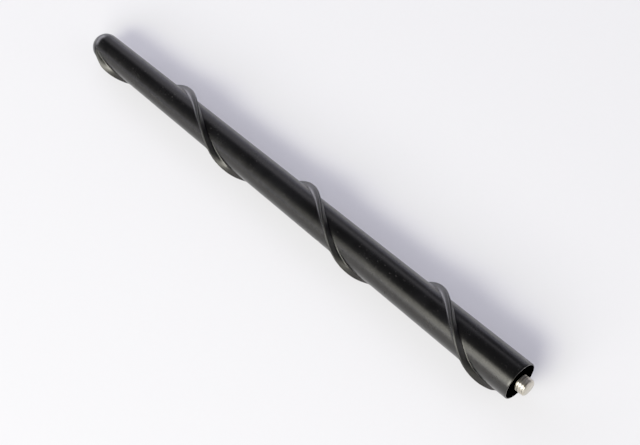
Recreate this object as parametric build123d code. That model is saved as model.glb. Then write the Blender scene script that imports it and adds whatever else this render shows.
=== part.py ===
from build123d import *
import os
from math import atan, cos, degrees, radians

# Short screw-in rubber antenna mast with a spiral rib. The mast's axis is X. The origin is on the axis, in the
# plane of the base rim. The threaded stud points to +X and the rounded tip to -X.

# Driving dimensions, in millimetres and degrees
MAST_LENGTH = 194.0          # base rim to the end of the rounded tip
RIM_RADIUS = 7.0             # outside of the jacket at the base rim
TIP_RADIUS = 4.7             # outside of the jacket where the round tip starts
TIP_FLAT_RADIUS = 0.5        # small flat left by the mould at the very end

RIB_PITCH = 57.2             # one turn of the right-handed spiral rib
RIB_HEIGHT = 1.9             # crest above the jacket
RIB_CREST_WIDTH = 1.2        # widths are measured along the mast
RIB_CREST_ROUND = 0.4
RIB_ROOT_WIDTH = 2.6
RIB_ROOT_DEPTH = 0.8         # how far the rib reaches into the jacket
RIB_ANGLE_AT_RIM = 277.9     # where the spiral would cross the rim plane, from +Y towards +Z
RIB_FADE_TO_RIM = (7.0, 3.0)     # distances from the rim where the rib starts to fade and is gone
RIB_FADE_TO_TIP = (10.0, 1.5)    # the same, from the end of the tip

RECESS_RADIUS = 5.7          # hollow skirt around the stud
RECESS_DEPTH = 6.0           # down to the ferrule's face
RIM_ROUND = 0.45

STUD_RADIUS = 3.0            # M6
STUD_PROTRUSION = 3.8        # past the rim plane
STUD_CHAMFER = 0.4
SPIGOT_RADIUS = 2.5          # the stud's inner end, fixed in the ferrule
SPIGOT_LENGTH = 10.0

FERRULE_LENGTH = 24.0
FERRULE_RADIUS = 4.0
HEX_ACROSS_FLATS = 9.0
HEX_LENGTH = 4.0
GROOVE_WIDTH = 1.6
GROOVE_DEPTH = 0.6
GROOVE_COUNT = 3
GROOVE_SPACING = 4.5

CORE_RADIUS = 1.5
CORE_SEAT = 12.0             # how far the core goes into the ferrule
CORE_END_TO_TIP = 11.0

WIRE_DIAMETER = 0.5
WIRE_PITCH = 3.0
WIRE_TURNS = 48
WIRE_STRETCHES = 6           # whole turns in each
SLEEVE_WALL = 0.35
SOLDER_LENGTH = 2.0
SOLDER_RADIUS = 3.4
CAP_LENGTH = 8.0
CAP_SEAT = 6.0               # how far the core goes into the cap

SEAM = 0.02                  # gap left between pieces that are bonded or moulded together

# Places along the axis
ferrule_front_x = -RECESS_DEPTH
ferrule_back_x = ferrule_front_x - FERRULE_LENGTH
spigot_end_x = ferrule_front_x - SPIGOT_LENGTH
core_start_x = ferrule_back_x + CORE_SEAT
core_end_x = CORE_END_TO_TIP - MAST_LENGTH
cap_mouth_x = core_end_x + CAP_SEAT
cap_end_x = cap_mouth_x - CAP_LENGTH
solder_end_x = ferrule_back_x - SOLDER_LENGTH
wire_start_x = ferrule_back_x - WIRE_DIAMETER
tip_centre_x = TIP_RADIUS - MAST_LENGTH

# Radii that follow from the ones above
taper_slope = (RIM_RADIUS - TIP_RADIUS) / -tip_centre_x
wire_path_radius = CORE_RADIUS + SEAM + WIRE_DIAMETER / 2
sleeve_bore = CORE_RADIUS + WIRE_DIAMETER + 2 * SEAM
sleeve_radius = sleeve_bore + SLEEVE_WALL


def jacket_radius(x):
    """Outside radius of the jacket at x, without the rib."""
    return RIM_RADIUS + taper_slope * x


def revolved(points):
    """A solid of revolution about X from an outline of (x, radius) points."""
    return revolve(make_face(Polyline(*points, close=True)), Axis.X)


def rod(x_low, x_high, radius):
    """A cylinder along X."""
    return revolved([(x_low, 0), (x_high, 0), (x_high, radius), (x_low, radius)])


def tube(x_low, x_high, bore, radius):
    """A hollow cylinder along X."""
    return revolved([(x_low, bore), (x_high, bore), (x_high, radius), (x_low, radius)])


def threaded_stud():
    """M6 stud with a chamfered end and a thinner spigot that is fixed in the ferrule."""
    return revolved([
        (spigot_end_x, 0),
        (STUD_PROTRUSION, 0),
        (STUD_PROTRUSION, STUD_RADIUS - STUD_CHAMFER),
        (STUD_PROTRUSION - STUD_CHAMFER, STUD_RADIUS),
        (ferrule_front_x + SEAM, STUD_RADIUS),
        (ferrule_front_x + SEAM, SPIGOT_RADIUS),
        (spigot_end_x, SPIGOT_RADIUS),
    ])


def ferrule_outside(gap):
    """The ferrule's outer shape, grown by a gap: a hexagonal collar and a grooved barrel."""
    hexagon = RegularPolygon(HEX_ACROSS_FLATS / 2 + gap, 6, major_radius=False)
    collar_back = Plane.YZ.offset(ferrule_front_x - HEX_LENGTH - gap)
    shape = extrude(collar_back * hexagon, HEX_LENGTH + gap)
    shape += rod(ferrule_back_x - gap, ferrule_front_x, FERRULE_RADIUS + gap)
    for number in range(GROOVE_COUNT):
        groove_x = ferrule_front_x - HEX_LENGTH - GROOVE_SPACING * (number + 1)
        shape -= tube(
            groove_x + gap,
            groove_x + GROOVE_WIDTH - gap,
            FERRULE_RADIUS - GROOVE_DEPTH + gap,
            FERRULE_RADIUS + 1,
        )
    return shape


def ferrule():
    """Turned brass insert, bored from the front for the stud and from the back for the core."""
    shape = ferrule_outside(0)
    shape -= rod(spigot_end_x - SEAM, ferrule_front_x, SPIGOT_RADIUS + SEAM)
    shape -= rod(ferrule_back_x, core_start_x + SEAM, CORE_RADIUS + SEAM)
    return shape


def core_rod():
    """Glass-fibre rod from the ferrule to the cap."""
    return rod(core_end_x, core_start_x, CORE_RADIUS)


def antenna_winding():
    """One wire wound along the core. It is swept a few turns at a time, which keeps its section true."""
    stretch = WIRE_PITCH * WIRE_TURNS / WIRE_STRETCHES
    path = Helix(WIRE_PITCH, stretch, wire_path_radius)
    section = Plane(origin=path @ 0, z_dir=path % 0) * Circle(WIRE_DIAMETER / 2)
    turns = Rot(0, -90, 0) * sweep(section, path=path, is_frenet=True)
    wire = Pos(wire_start_x, 0, 0) * turns
    for number in range(1, WIRE_STRETCHES):
        wire += Pos(wire_start_x - number * stretch, 0, 0) * turns
    return wire


def winding_sleeve():
    """Shrink tube over the winding, between the solder and the cap."""
    return tube(cap_mouth_x + SEAM, solder_end_x - SEAM, sleeve_bore, sleeve_radius)


def wire_end_cap():
    """Nylon cap over the far end of the core."""
    return rod(cap_end_x, cap_mouth_x, sleeve_radius) - rod(core_end_x - SEAM, cap_mouth_x, CORE_RADIUS + SEAM)


def solder_cone(gap):
    """The outer shape of the solder behind the ferrule, grown by a gap."""
    return revolved([
        (ferrule_back_x - SEAM, CORE_RADIUS + SEAM),
        (ferrule_back_x - SEAM, SOLDER_RADIUS + gap),
        (solder_end_x - gap, sleeve_radius + gap),
        (solder_end_x - gap, CORE_RADIUS + SEAM),
    ])


def solder_joint(winding):
    """Cone of solder between the ferrule and the first turn of wire, which is bedded in it."""
    return solder_cone(0) - winding


def slope_to_clear(gone, fade):
    """The point where a slope from gone to fade, both (x, radius), is well clear of the rib's crest."""
    clear_radius = RIM_RADIUS + 2 * RIB_HEIGHT
    share = (clear_radius - gone[1]) / (fade[1] - gone[1])
    return gone[0] + share * (fade[0] - gone[0]), clear_radius


def rib_envelope():
    """Everything the rib may fill. It slopes from inside the jacket to above the crest at both ends."""
    fade_rim_x, gone_rim_x = [-distance for distance in RIB_FADE_TO_RIM]
    fade_tip_x, gone_tip_x = [distance - MAST_LENGTH for distance in RIB_FADE_TO_TIP]
    gone_rim = (gone_rim_x, jacket_radius(gone_rim_x) - RIB_ROOT_DEPTH / 2)
    gone_tip = (gone_tip_x, TIP_RADIUS / 2)
    fade_rim = (fade_rim_x, jacket_radius(fade_rim_x) + RIB_HEIGHT)
    fade_tip = (fade_tip_x, jacket_radius(fade_tip_x) + RIB_HEIGHT)
    return revolved([
        (gone_tip_x, 0),
        gone_tip,
        slope_to_clear(gone_tip, fade_tip),
        slope_to_clear(gone_rim, fade_rim),
        gone_rim,
        (gone_rim_x, 0),
    ])


def rib_section(radius):
    """Cross-section of the fin where the jacket has this radius: X is radial and Y runs along the mast."""
    root = radius - RIB_ROOT_DEPTH
    crest = radius + RIB_HEIGHT
    outline = FilletPolyline(
        (root, -RIB_ROOT_WIDTH / 2),
        (crest, -RIB_CREST_WIDTH / 2),
        (crest, RIB_CREST_WIDTH / 2),
        (root, RIB_ROOT_WIDTH / 2),
        radius=[0, RIB_CREST_ROUND, RIB_CREST_ROUND, 0],
        close=True,
    )
    return make_face(outline)


def spiral_rib():
    """Right-handed fin that follows the jacket's taper, cut off by its envelope at both ends."""
    start_radius = jacket_radius(-MAST_LENGTH)
    path = Helix(RIB_PITCH, MAST_LENGTH, start_radius, cone_angle=degrees(atan(taper_slope)))
    fin = sweep(Plane.XZ * rib_section(start_radius), path=path, is_frenet=True)
    start_angle = RIB_ANGLE_AT_RIM - 360 * MAST_LENGTH / RIB_PITCH
    fin = Rot(start_angle + 90, 0, 0) * Pos(-MAST_LENGTH, 0, 0) * Rot(0, 90, 0) * fin
    return fin & rib_envelope()


def jacket():
    """Tapered rubber body with a round tip and a rounded rim, still solid."""
    slant = TIP_RADIUS * cos(radians(45))
    tip_end = (-MAST_LENGTH, TIP_FLAT_RADIUS)
    tip_start = (tip_centre_x, TIP_RADIUS)
    outline = ThreePointArc(tip_end, (tip_centre_x - slant, slant), tip_start)
    outline += Polyline(tip_start, (0, RIM_RADIUS), (0, 0), (-MAST_LENGTH, 0), tip_end)
    body = revolve(make_face(outline), Axis.X)
    rim_edges = body.faces().sort_by(Axis.X)[-1].edges()
    return fillet(rim_edges, RIM_ROUND)


def rubber_moulding():
    """Jacket and spiral rib in one moulding, hollow at the base and closed around the inner pieces."""
    shape = jacket() + spiral_rib()
    shape -= rod(ferrule_front_x, 1, RECESS_RADIUS)
    shape -= ferrule_outside(SEAM)
    shape -= solder_cone(SEAM)
    shape -= rod(cap_end_x - SEAM, ferrule_back_x, sleeve_radius + SEAM)
    return shape


def past_ferrule(gap):
    """All the room past the ferrule's face, from a gap in front of it."""
    return rod(ferrule_front_x + gap, 1, RIM_RADIUS + 2 * RIB_HEIGHT)


def build():
    """Every piece by its node name. The moulding is kept as two, so that its hollow end is a plain ring."""
    winding = antenna_winding()
    moulding = rubber_moulding()
    return {
        "rubber_sheath": moulding - past_ferrule(0),
        "base_skirt": moulding & past_ferrule(SEAM),
        "threaded_stud": threaded_stud(),
        "ferrule": ferrule(),
        "core_rod": core_rod(),
        "antenna_winding": winding,
        "winding_sleeve": winding_sleeve(),
        "wire_end_cap": wire_end_cap(),
        "solder_joint": solder_joint(winding),
    }


os.makedirs("parts", exist_ok=True)
for name, shape in build().items():
    export_step(shape, f"parts/{name}.step")
    size = shape.bounding_box().size
    print(f"{name}: {shape.volume:.1f} mm3, {size.X:.1f} x {size.Y:.1f} x {size.Z:.1f} mm")
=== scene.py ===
"""Looks of the screw-in rubber antenna mast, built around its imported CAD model. Lengths are in metres."""

from math import ceil, cos, pi, radians, sin, tan

import bmesh
import bpy
import numpy as np
from mathutils import Matrix, Vector


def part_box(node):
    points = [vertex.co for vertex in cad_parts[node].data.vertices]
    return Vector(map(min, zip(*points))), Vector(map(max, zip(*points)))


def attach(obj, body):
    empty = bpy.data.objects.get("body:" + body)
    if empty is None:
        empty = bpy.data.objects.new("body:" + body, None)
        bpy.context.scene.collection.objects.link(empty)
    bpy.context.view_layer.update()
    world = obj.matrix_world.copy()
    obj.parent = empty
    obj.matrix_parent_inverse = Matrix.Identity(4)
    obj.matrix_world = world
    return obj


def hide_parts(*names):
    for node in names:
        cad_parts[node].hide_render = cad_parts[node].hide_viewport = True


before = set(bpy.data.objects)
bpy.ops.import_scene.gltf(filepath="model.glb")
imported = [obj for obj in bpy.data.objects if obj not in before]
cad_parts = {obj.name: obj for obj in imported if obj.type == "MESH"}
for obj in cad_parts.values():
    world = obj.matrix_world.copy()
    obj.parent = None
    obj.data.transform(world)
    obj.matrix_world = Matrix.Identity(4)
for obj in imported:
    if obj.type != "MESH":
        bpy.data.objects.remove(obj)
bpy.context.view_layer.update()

MM = 0.001

# Places along the mast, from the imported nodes. X runs from the tip to the rim and on to the stud's end.
TIP_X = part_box("rubber_sheath")[0].x
RIM_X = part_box("base_skirt")[1].x
FERRULE_FACE_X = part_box("ferrule")[1].x
FERRULE_BACK_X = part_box("ferrule")[0].x
SOLDER_END_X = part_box("solder_joint")[0].x
BORE_END_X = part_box("wire_end_cap")[0].x
STUD_INNER_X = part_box("threaded_stud")[0].x
STUD_END_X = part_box("threaded_stud")[1].x

# Outside of the moulded jacket
RIM_RADIUS = 7.0 * MM
TIP_RADIUS = 4.7 * MM
RIM_ROUND = 0.30 * MM
TIP_CENTRE_X = TIP_X + TIP_RADIUS
TAPER = (RIM_RADIUS - TIP_RADIUS) / (RIM_X - TIP_CENTRE_X)

RIB_PITCH = 57.2 * MM
RIB_HEIGHT = 1.89 * MM
RIB_SECTION = (                             # corners as (distance towards the tip, height, rounding) in mm
    (-2.20, 0.00, 0.60),
    (-0.45, 1.89, 0.40),
    (0.50, 1.89, 0.35),
    (1.45, 0.00, 1.60),
)
RIB_ANGLE_AT_RIM = radians(277.9)           # from +Y towards +Z
RIB_FADE_AT_RIM = (3.0 * MM, 7.0 * MM)      # distances from the rim where the rib is gone, and is full
RIB_FADE_AT_TIP = (1.5 * MM, 10.0 * MM)     # the same, from the end of the tip

# Inside of the moulding: the recess round the stud, and the room for the inner pieces
RECESS_RADIUS = 5.7 * MM
MOUTH_RADIUS = 6.5 * MM                     # where the mouth's bevel meets the rim's flat face
MOUTH_DEPTH = 1.0 * MM
MOUTH_ROUND = 0.15 * MM
RECESS_FLOOR_ROUND = 0.3 * MM
FIT = 0.02 * MM                             # gap round the inner pieces
HEX_ACROSS_FLATS = 9.0 * MM
HEX_LENGTH = 4.0 * MM
BARREL_RADIUS = 4.0 * MM
GROOVE_WIDTH = 1.6 * MM
GROOVE_DEPTH = 0.6 * MM
GROOVE_COUNT = 3
GROOVE_SPACING = 4.5 * MM
SOLDER_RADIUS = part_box("solder_joint")[1].y
BORE_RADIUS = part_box("winding_sleeve")[1].y + FIT

# Stud
STUD_RADIUS = 3.0 * MM
STUD_CHAMFER = 0.4 * MM
STUD_END_ROUND = 0.08 * MM
SPIGOT_RADIUS = 2.5 * MM
THREAD_PITCH = 1.0 * MM
THREAD_DEPTH = 0.10 * MM
THREAD_GROOVE_SHARE = 0.45                  # of the pitch. The rest is the flat crest.
THREAD_STATIONS = 12                        # rings of vertices in one pitch
THREAD_COLUMNS = 72

# Fineness of the meshes
ARC_STEPS = 6
TIP_STEPS = 24
FLANK_STEPS = 4
COLUMN_WIDTH = 0.75 * MM                    # along the rib's pitch, away from the rib
STATION_SPACING = 0.7 * MM
INNER_COLUMNS = 120                         # a multiple of six, so that the hexagon's corners have columns
SHARP_ANGLE = radians(38)                   # edges that turn by more than this are sharp

# Camera
AZIMUTH = radians(44.02)
ELEVATION = radians(56.94)
LENS_MM = 148.9
SENSOR_MM = 36.0
CAMERA_NEAR = 0.01
CAMERA_PLACE = (0.24177, -0.34087, 0.72671)

# The floor touches the rib's crest under each turn, so it is tilted as the mast tapers.
FLOOR_HALF = 3.0
FLOOR_DROP = 8.90 * MM                      # below the axis, at the rim

# Lights, as (bearing from -Y towards +X, elevation, distance, spread, radiance, colour). A spread is the
# width and the height that the light fills, seen from the mast. Angles are in degrees.
LIGHTS = {
    "key": (13.0, 27.0, 1.6, (44.0, 26.0), 15.3, (1.00, 0.99, 0.94)),
    "key_low": (-4.0, 26.0, 1.5, (29.0, 44.0), 4.4, (1.00, 1.00, 0.98)),
    "fill": (228.0, 32.0, 1.6, (36.0, 46.0), 1.0, (0.96, 0.95, 1.10)),
    "fill_end": (268.0, 20.0, 3.1, (64.0, 28.0), 4.3, (0.96, 0.95, 1.10)),
    "fill_back": (112.0, 30.0, 2.0, (46.0, 36.0), 1.3, (0.98, 0.97, 1.05)),
}

# Glow of the surroundings. They are light on one side and dark on the other.
GLOW_COLOUR = (1.25, 1.25, 1.50)
GLOW_EVERYWHERE = 0.15                      # share of the glow that doesn't fade
GLOW_SIDE = (-1.0, 0.0, 0.0)
GLOW_SIDE_RANGE = (-0.1, 0.5)               # cosines to that side between which the glow rises
GLOW_FADE = (0.12, 0.50)                    # sines of the elevations between which the glow fades

# The picture's response to light. The shoulder's points are (light of the scene, light of the picture).
BLACK_LEVEL = 0.005
SHOULDER = ((0.45, 0.45), (0.90, 0.755), (1.20, 0.86), (1.50, 0.955), (1.70, 1.00))
COMMON_CURVE = 3                            # index of the curve that holds for all three colours

# Colours. The second of a pair is mixed into the first by a pattern.
RUBBER = (0.0016, 0.0016, 0.0014)
RUBBER_BLOOM = (0.0036, 0.0036, 0.0037)
RUBBER_WORN = (0.006, 0.006, 0.006)
DUST = (0.025, 0.024, 0.023)
PLATING = ((0.47, 0.44, 0.37), (0.38, 0.34, 0.25))
BRASS = ((0.78, 0.58, 0.26), (0.55, 0.38, 0.16))
COPPER = ((0.62, 0.22, 0.08), (0.42, 0.12, 0.04))
SOLDER = ((0.62, 0.63, 0.66), (0.45, 0.45, 0.46))
GLASS_FIBRE = ((0.62, 0.66, 0.42), (0.80, 0.82, 0.66))
SHRINK_TUBE = ((0.012, 0.012, 0.014), (0.030, 0.030, 0.032))
NYLON = ((0.80, 0.78, 0.70), (0.72, 0.69, 0.60))
PAPER = ((0.860, 0.855, 0.865), (0.885, 0.880, 0.890))

# Scales of the stretched patterns, as (along the mast, across it)
LATHE_RINGS = (9000, 60)
DRAWN_STREAKS = (60, 2500)
MOTTLE = (900, 900)

NOISE_MIDDLE = (0.3, 0.7)                   # where most of a noise pattern's values lie


# --- Meshes ---


def smoothstep(low, high, value):
    """0 below low, 1 above high, and smooth between."""
    share = np.clip((value - low) / (high - low), 0, 1)
    return share * share * (3 - 2 * share)


def corner_arc(before, corner, after, radius):
    """Points on the arc that rounds a corner of a flat outline."""
    into = (corner - before).normalized()
    out = (after - corner).normalized()
    turn = into.angle(out)
    side = 1 if into.cross(out) > 0 else -1
    start = corner - into * radius * tan(turn / 2)
    arm = into.orthogonal() * -side * radius
    centre = start - arm
    angles = [side * turn * step / ARC_STEPS for step in range(ARC_STEPS + 1)]
    return [centre + Matrix.Rotation(angle, 2) @ arm for angle in angles]


def rib_outline():
    """The rib's section as (distance, height) points, from its foot towards the rim to the other foot."""
    corners = [Vector((distance, height)) * MM for distance, height, _ in RIB_SECTION]
    before = [corners[0] - Vector((COLUMN_WIDTH, 0)), *corners[:-1]]
    after = [*corners[1:], corners[-1] + Vector((COLUMN_WIDTH, 0))]
    arcs = [
        corner_arc(*places, rounding * MM)
        for *places, (_, _, rounding) in zip(before, corners, after, RIB_SECTION)
    ]
    points = arcs[0]
    for arc in arcs[1:]:
        start = points[-1]
        points += [start.lerp(arc[0], step / FLANK_STEPS) for step in range(1, FLANK_STEPS)] + arc
    return points


def rib_columns():
    """Once round the jacket from the rib's first foot, as (distance towards the tip, height) columns."""
    rib = [tuple(point) for point in rib_outline()]
    start = rib[-1][0]
    gap = RIB_PITCH - start + rib[0][0]
    count = ceil(gap / COLUMN_WIDTH)
    return np.array(rib + [(start + gap * step / count, 0) for step in range(1, count)])


def jacket_outline():
    """The jacket without its rib, from the rim's flat face to the round tip, as (x, radius) points."""
    edge = Vector((RIM_X, RIM_RADIUS))
    tip_start = Vector((TIP_CENTRE_X, TIP_RADIUS))
    points = corner_arc(Vector((RIM_X, 0)), edge, tip_start, RIM_ROUND)
    body_start = points[-1]
    count = ceil((body_start.x - tip_start.x) / STATION_SPACING)
    points += [body_start.lerp(tip_start, step / count) for step in range(1, count + 1)]
    for step in range(1, TIP_STEPS):
        angle = pi / 2 * step / TIP_STEPS
        points.append(Vector((TIP_CENTRE_X - TIP_RADIUS * sin(angle), TIP_RADIUS * cos(angle))))
    return np.array([tuple(point) for point in points])


def rib_strength(x):
    """How much of its height the rib has at x."""
    return smoothstep(*RIB_FADE_AT_RIM, RIM_X - x) * smoothstep(*RIB_FADE_AT_TIP, x - TIP_X)


def around(x, angle, radius):
    """Points round the X axis, at angles from +Y towards +Z."""
    return np.stack([x + 0 * angle, radius * np.cos(angle), radius * np.sin(angle)], axis=-1)


def outer_rings():
    """Rings of points on the jacket, in columns that turn with the rib, and their shares of its height."""
    outline = jacket_outline()
    columns = rib_columns()
    x = outline[:, :1]
    angle = RIB_ANGLE_AT_RIM + 2 * pi * (x - RIM_X + columns[:, 0]) / RIB_PITCH
    height = columns[:, 1] * rib_strength(x)
    return around(x, angle, outline[:, 1:] + height), height / RIB_HEIGHT


def hexagon_radius(angle):
    """Distance from the middle to the side of the collar's pocket, which has a corner on +Y."""
    half_side = pi / 6
    return (HEX_ACROSS_FLATS / 2 + FIT) / np.cos(np.mod(angle, 2 * half_side) - half_side)


def recess_outline():
    """From the rim's flat face over the bevelled mouth to the recess's floor, as (x, radius) points."""
    rim = Vector((RIM_X, RIM_RADIUS))
    mouth = Vector((RIM_X, MOUTH_RADIUS))
    throat = Vector((RIM_X - MOUTH_DEPTH, RECESS_RADIUS))
    foot = Vector((FERRULE_FACE_X, RECESS_RADIUS))
    return [
        *corner_arc(rim, mouth, throat, MOUTH_ROUND),
        *corner_arc(mouth, throat, foot, MOUTH_ROUND),
        *corner_arc(throat, foot, Vector((FERRULE_FACE_X, 0)), RECESS_FLOOR_ROUND),
    ]


def bore_outline():
    """Along the room for the inner pieces, from behind the ferrule's collar to its far end."""
    collar_back = FERRULE_FACE_X - HEX_LENGTH - FIT
    barrel = BARREL_RADIUS + FIT
    points = [(collar_back, barrel)]
    for number in range(1, GROOVE_COUNT + 1):
        low = FERRULE_FACE_X - HEX_LENGTH - GROOVE_SPACING * number + FIT
        high = low + GROOVE_WIDTH - 2 * FIT
        bottom = barrel - GROOVE_DEPTH
        points += [(high, barrel), (high, bottom), (low, bottom), (low, barrel)]
    points += [
        (FERRULE_BACK_X - FIT, barrel),
        (FERRULE_BACK_X - FIT, SOLDER_RADIUS + FIT),
        (SOLDER_END_X - FIT, BORE_RADIUS),
        (BORE_END_X - FIT, BORE_RADIUS),
    ]
    return points


def inner_rings():
    """Rings of points on the moulding's inside, from the rim's flat face to the far end of the bore."""
    angle = 2 * pi * np.arange(INNER_COLUMNS) / INNER_COLUMNS
    pocket = hexagon_radius(angle)
    rings = [around(x, angle, radius) for x, radius in recess_outline()]
    rings.append(around(FERRULE_FACE_X, angle, pocket))
    rings.append(around(FERRULE_FACE_X - HEX_LENGTH - FIT, angle, pocket))
    rings += [around(x, angle, radius) for x, radius in bore_outline()]
    return np.array(rings)


def add_rings(mesh, rings, end_x):
    """Adds a tube of rings, closed after the last by a point on the axis. Returns its rows of vertices."""
    rows = [[mesh.verts.new(point) for point in ring] for ring in rings]
    for row, next_row in zip(rows, rows[1:]):
        for column in range(len(row)):
            mesh.faces.new((row[column - 1], row[column], next_row[column], next_row[column - 1]))
    end = mesh.verts.new((end_x, 0, 0))
    last_row = rows[-1]
    for column in range(len(last_row)):
        mesh.faces.new((last_row[column - 1], last_row[column], end))
    return rows


def bridge(mesh, row, other_row):
    """Joins two rings of vertices that may differ in number."""
    mesh.edges.ensure_lookup_table()
    edges = []
    for ring in (row, other_row):
        edges += [mesh.edges.get((ring[column - 1], ring[column])) for column in range(len(ring))]
    bmesh.ops.bridge_loops(mesh, edges=edges)


def new_piece(name, mesh):
    """Turns a finished bmesh into an object with smooth faces and sharp corners."""
    bmesh.ops.recalc_face_normals(mesh, faces=mesh.faces)
    data = bpy.data.meshes.new(name)
    mesh.to_mesh(data)
    mesh.free()
    data.shade_smooth()
    data.set_sharp_from_angle(angle=SHARP_ANGLE)
    piece = bpy.data.objects.new(name, data)
    bpy.context.scene.collection.objects.link(piece)
    return piece


def ribbed_jacket():
    """The whole moulding as one closed mesh, whose attribute "crest" is the share of the rib's height."""
    mesh = bmesh.new()
    crest = mesh.verts.layers.float.new("crest")
    points, shares = outer_rings()
    rows = add_rings(mesh, points, TIP_X)
    for row, row_shares in zip(rows, shares):
        for vertex, share in zip(row, row_shares):
            vertex[crest] = share
    inner_rows = add_rings(mesh, inner_rings(), BORE_END_X - FIT)
    bridge(mesh, rows[0], inner_rows[0])
    return new_piece("ribbed_rubber_jacket", mesh)


def thread_rings():
    """Rings of points on the stud's threaded length, from the ferrule's face to the chamfered end."""
    count = ceil((STUD_END_X - FERRULE_FACE_X) / THREAD_PITCH * THREAD_STATIONS)
    x = np.linspace(FERRULE_FACE_X + FIT, STUD_END_X - STUD_END_ROUND, count)[:, None]
    angle = 2 * pi * np.arange(THREAD_COLUMNS) / THREAD_COLUMNS
    turn = x / THREAD_PITCH - angle / (2 * pi)
    from_groove = np.abs(np.mod(turn, 1) - 0.5) / THREAD_GROOVE_SHARE * 2
    groove = 1 - smoothstep(0, 1, from_groove)
    fade = smoothstep(0, THREAD_PITCH, x - FERRULE_FACE_X)
    threaded = STUD_RADIUS - THREAD_DEPTH * groove * fade
    chamfered = STUD_RADIUS - STUD_CHAMFER + (STUD_END_X - x)
    return around(x, angle, np.minimum(threaded, chamfered))


def stud():
    """The stud with its thread outside the ferrule and its plain spigot inside, as one closed mesh."""
    rings = list(thread_rings())
    angle = 2 * pi * np.arange(THREAD_COLUMNS) / THREAD_COLUMNS
    rings.append(around(STUD_END_X, angle, STUD_RADIUS - STUD_CHAMFER - STUD_END_ROUND))
    spigot = [around(x, angle, SPIGOT_RADIUS) for x in (FERRULE_FACE_X + FIT, STUD_INNER_X)]
    mesh = bmesh.new()
    rows = add_rings(mesh, rings, STUD_END_X)
    spigot_rows = add_rings(mesh, spigot, STUD_INNER_X)
    bridge(mesh, rows[0], spigot_rows[0])
    return new_piece("stud", mesh)


# --- Materials ---


class Shader:
    """A node material round one Principled shader, which reads the pattern nodes added to it."""

    def __init__(self, name, **values):
        self.material = bpy.data.materials.new(name)
        self.material.use_nodes = True
        self.tree = self.material.node_tree
        self.surface = self.tree.nodes["Principled BSDF"]
        for socket, value in values.items():
            self.surface.inputs[socket.replace("_", " ")].default_value = value
        self.place = self.node("ShaderNodeTexCoord").outputs["Object"]

    def node(self, kind, **settings):
        """Adds a node. A setting is either a property of the node or the start value of a socket."""
        made = self.tree.nodes.new(kind)
        for name, value in settings.items():
            if hasattr(made, name):
                setattr(made, name, value)
            else:
                made.inputs[name.replace("_", " ")].default_value = value
        return made

    def link(self, output, target):
        """Links an output to a socket."""
        self.tree.links.new(output, target)

    def feed(self, socket, output):
        """Links an output to a socket of the Principled shader."""
        self.link(output, self.surface.inputs[socket])

    def stretched(self, along, across):
        """The place on the piece, scaled by one number along the mast and by another across it."""
        mapping = self.node("ShaderNodeMapping", Scale=(along, across, across))
        self.link(self.place, mapping.inputs["Vector"])
        return mapping.outputs["Vector"]

    def noise(self, scale, detail, place=None):
        """A noise pattern from 0 to 1."""
        pattern = self.node("ShaderNodeTexNoise", Scale=scale, Detail=detail)
        self.link(place or self.place, pattern.inputs["Vector"])
        return pattern.outputs["Fac"]

    def ranged(self, value, old_range, new_range=(0, 1)):
        """A value carried from one range to another and held inside it."""
        mapped = self.node("ShaderNodeMapRange")
        self.link(value, mapped.inputs["Value"])
        for name, (low, high) in (("From", old_range), ("To", new_range)):
            mapped.inputs[f"{name} Min"].default_value = low
            mapped.inputs[f"{name} Max"].default_value = high
        return mapped.outputs["Result"]

    def combined(self, operation, first, second):
        """Two values added or multiplied."""
        made = self.node("ShaderNodeMath", operation=operation)
        self.link(first, made.inputs[0])
        self.link(second, made.inputs[1])
        return made.outputs["Value"]

    def blended(self, share, first, second):
        """A colour between two colours. Either may be an output."""
        made = self.node("ShaderNodeMix", data_type="RGBA")
        self.link(share, made.inputs["Factor"])
        for socket, colour in ((made.inputs["A"], first), (made.inputs["B"], second)):
            if isinstance(colour, tuple):
                socket.default_value = (*colour, 1)
            else:
                self.link(colour, socket)
        return made.outputs["Result"]

    def bump(self, height, depth, strength):
        """Raises the surface by a pattern. Its depth is in metres."""
        made = self.node("ShaderNodeBump", Strength=strength, Distance=depth)
        self.link(height, made.inputs["Height"])
        self.feed("Normal", made.outputs["Normal"])


def black_rubber():
    """Satin rubber, nearly black, with a fine grain, a patchy bloom, dust and a worn, duller rib."""
    shader = Shader("black_rubber", Specular_IOR_Level=0.42, Specular_Tint=(1.0, 0.98, 0.90, 1))
    grain = shader.noise(scale=3500, detail=4)
    bloom = shader.ranged(shader.noise(scale=90, detail=5), (0.45, 0.75))
    crest = shader.node("ShaderNodeAttribute", attribute_name="crest").outputs["Fac"]
    near_crest = shader.ranged(crest, (0.85, 1.0))
    worn = shader.combined("MULTIPLY", near_crest, shader.ranged(grain, (0.4, 0.6), (0.3, 1)))
    dust = shader.ranged(shader.noise(scale=1700, detail=1), (0.72, 0.76))
    colour = shader.blended(bloom, RUBBER, RUBBER_BLOOM)
    colour = shader.blended(worn, colour, RUBBER_WORN)
    colour = shader.blended(dust, colour, DUST)
    shader.feed("Base Color", colour)
    patchy = shader.ranged(shader.noise(scale=260, detail=4), NOISE_MIDDLE, (0.23, 0.28))
    duller_rib = shader.ranged(crest, (0.1, 0.6), (0, 0.14))
    shader.feed("Roughness", shader.combined("ADD", patchy, duller_rib))
    shader.bump(grain, depth=0.010 * MM, strength=0.3)
    return shader.material


def turned_metal(name, colour, stain, roughness):
    """Metal turned on a lathe, with fine rings round the mast's axis and faint stains."""
    shader = Shader(name, Metallic=1.0)
    rings = shader.noise(scale=1.0, detail=2, place=shader.stretched(*LATHE_RINGS))
    stains = shader.ranged(shader.noise(scale=600, detail=4), (0.4, 0.75))
    shader.feed("Base Color", shader.blended(stains, colour, stain))
    shader.feed("Roughness", shader.ranged(rings, NOISE_MIDDLE, roughness))
    shader.bump(rings, depth=0.002 * MM, strength=0.6)
    return shader.material


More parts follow.
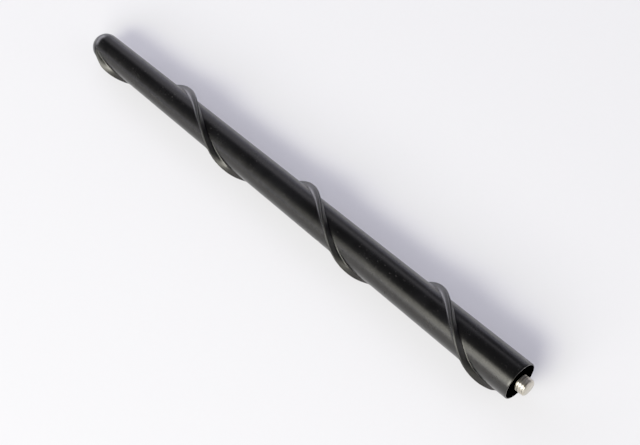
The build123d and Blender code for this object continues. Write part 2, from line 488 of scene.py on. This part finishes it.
def drawn_plastic(name, colour, streak, roughness, fineness=DRAWN_STREAKS):
    """Plastic or glass fibre with fine streaks along the mast, or an even mottle."""
    shader = Shader(name)
    streaks = shader.noise(scale=1.0, detail=3, place=shader.stretched(*fineness))
    shader.feed("Base Color", shader.blended(streaks, colour, streak))
    shader.feed("Roughness", shader.ranged(streaks, NOISE_MIDDLE, roughness))
    shader.bump(streaks, depth=0.004 * MM, strength=0.5)
    return shader.material


def enamelled_copper():
    """Copper wire under clear enamel."""
    shader = Shader("enamelled_copper", Metallic=1.0, Coat_Weight=0.8, Coat_Roughness=0.08)
    shade = shader.noise(scale=900, detail=3)
    shader.feed("Base Color", shader.blended(shade, *COPPER))
    shader.feed("Roughness", shader.ranged(shade, NOISE_MIDDLE, (0.22, 0.34)))
    return shader.material


def bright_solder():
    """Solder that set with a slightly uneven skin."""
    shader = Shader("solder", Metallic=1.0)
    skin = shader.noise(scale=1200, detail=4)
    shader.feed("Base Color", shader.blended(skin, *SOLDER))
    shader.feed("Roughness", shader.ranged(skin, NOISE_MIDDLE, (0.18, 0.38)))
    shader.bump(skin, depth=0.02 * MM, strength=0.7)
    return shader.material


def white_paper():
    """The pale floor, with a barely visible tooth."""
    shader = Shader("white_paper", Roughness=0.9, Specular_IOR_Level=0.2)
    tooth = shader.noise(scale=700, detail=4)
    shader.feed("Base Color", shader.blended(tooth, *PAPER))
    shader.bump(tooth, depth=0.02 * MM, strength=0.3)
    return shader.material


# --- The set ---


def tilted_floor():
    """A wide pale floor that the rib's turns rest on."""
    corners = [(-1, -1), (1, -1), (1, 1), (-1, 1)]
    mesh = bmesh.new()
    for x, y in corners:
        height = -FLOOR_DROP - TAPER * (FLOOR_HALF * x - RIM_X)
        mesh.verts.new((FLOOR_HALF * x, FLOOR_HALF * y, height))
    mesh.faces.new(mesh.verts)
    floor = new_piece("floor", mesh)
    floor.data.materials.append(white_paper())


def soft_light(name, bearing, elevation, distance, spread, radiance, colour):
    """A rectangular light that faces the middle of the mast and is evenly bright over its spread."""
    data = bpy.data.lights.new(name, "AREA")
    data.shape = "RECTANGLE"
    data.size, data.size_y = [2 * distance * tan(radians(angle / 2)) for angle in spread]
    data.energy = radiance * pi * data.size * data.size_y
    data.color = colour
    level = cos(radians(elevation))
    to_light = Vector((
        level * sin(radians(bearing)),
        -level * cos(radians(bearing)),
        sin(radians(elevation)),
    ))
    light = bpy.data.objects.new(name, data)
    light.location = Vector(((TIP_X + RIM_X) / 2, 0, 0)) + distance * to_light
    light.rotation_euler = to_light.to_track_quat("Z", "Y").to_euler()
    light.visible_camera = False
    bpy.context.scene.collection.objects.link(light)


def surrounding_glow():
    """Soft light from one side of the room that fades overhead and towards the other side."""
    world = bpy.data.worlds.new("soft_surroundings")
    world.use_nodes = True
    bpy.context.scene.world = world
    nodes = world.node_tree.nodes
    links = world.node_tree.links
    direction = nodes.new("ShaderNodeTexCoord").outputs["Generated"]
    parts = nodes.new("ShaderNodeSeparateXYZ")
    links.new(direction, parts.inputs["Vector"])
    side = nodes.new("ShaderNodeVectorMath")
    side.operation = "DOT_PRODUCT"
    links.new(direction, side.inputs[0])
    side.inputs[1].default_value = GLOW_SIDE
    strength = nodes.new("ShaderNodeMath")
    strength.operation = "MULTIPLY_ADD"
    strength.inputs[2].default_value = GLOW_EVERYWHERE
    fades = ((parts.outputs["Z"], reversed(GLOW_FADE)), (side.outputs["Value"], GLOW_SIDE_RANGE))
    for socket, (value, (dark, light)) in zip(strength.inputs, fades):
        fade = nodes.new("ShaderNodeMapRange")
        fade.interpolation_type = "SMOOTHSTEP"
        fade.inputs["From Min"].default_value = dark
        fade.inputs["From Max"].default_value = light
        links.new(value, fade.inputs["Value"])
        links.new(fade.outputs["Result"], socket)
    background = nodes["Background"]
    background.inputs["Color"].default_value = (*GLOW_COLOUR, 1)
    links.new(strength.outputs["Value"], background.inputs["Strength"])


def still_camera():
    """The camera at the photograph's angle, held level."""
    back = Vector((sin(AZIMUTH) * cos(ELEVATION), -cos(AZIMUTH) * cos(ELEVATION), sin(ELEVATION)))
    right = Vector((cos(AZIMUTH), sin(AZIMUTH), 0))
    data = bpy.data.cameras.new("camera")
    data.lens = LENS_MM
    data.sensor_width = SENSOR_MM
    data.clip_start = CAMERA_NEAR
    camera = bpy.data.objects.new("camera", data)
    turn = Matrix((right, back.cross(right), back)).transposed().to_4x4()
    camera.matrix_world = Matrix.Translation(CAMERA_PLACE) @ turn
    bpy.context.scene.collection.objects.link(camera)
    bpy.context.scene.camera = camera


def plain_picture():
    """A picture without a film look, whose darkest greys are black and whose whites ease off."""
    view = bpy.context.scene.view_settings
    view.view_transform = "Standard"
    view.use_curve_mapping = True
    mapping = view.curve_mapping
    mapping.black_level = (BLACK_LEVEL, BLACK_LEVEL, BLACK_LEVEL)
    mapping.clip_max_x = SHOULDER[-1][0]
    curve = mapping.curves[COMMON_CURVE]
    curve.points[-1].location = SHOULDER[-1]
    for light, shown in SHOULDER[:-1]:
        curve.points.new(light, shown)
    mapping.update()


def finish_node(node, material):
    """Gives a CAD node its material."""
    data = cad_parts[node].data
    data.materials.clear()
    data.materials.append(material)


still_camera()
tilted_floor()
surrounding_glow()
for light_name, light_values in LIGHTS.items():
    soft_light(light_name, *light_values)
plain_picture()

jacket = ribbed_jacket()
jacket.data.materials.append(black_rubber())
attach(jacket, "root")
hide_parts("rubber_sheath", "base_skirt")

screw = stud()
screw.data.materials.append(turned_metal("plated_brass", *PLATING, roughness=(0.25, 0.35)))
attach(screw, "root")
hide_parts("threaded_stud")

finish_node("ferrule", turned_metal("brass", *BRASS, roughness=(0.20, 0.30)))
finish_node("core_rod", drawn_plastic("glass_fibre", *GLASS_FIBRE, roughness=(0.25, 0.37)))
finish_node("antenna_winding", enamelled_copper())
finish_node("winding_sleeve", drawn_plastic("shrink_tube", *SHRINK_TUBE, roughness=(0.50, 0.62)))
finish_node("wire_end_cap", drawn_plastic("nylon", *NYLON, roughness=(0.38, 0.50), fineness=MOTTLE))
finish_node("solder_joint", bright_solder())
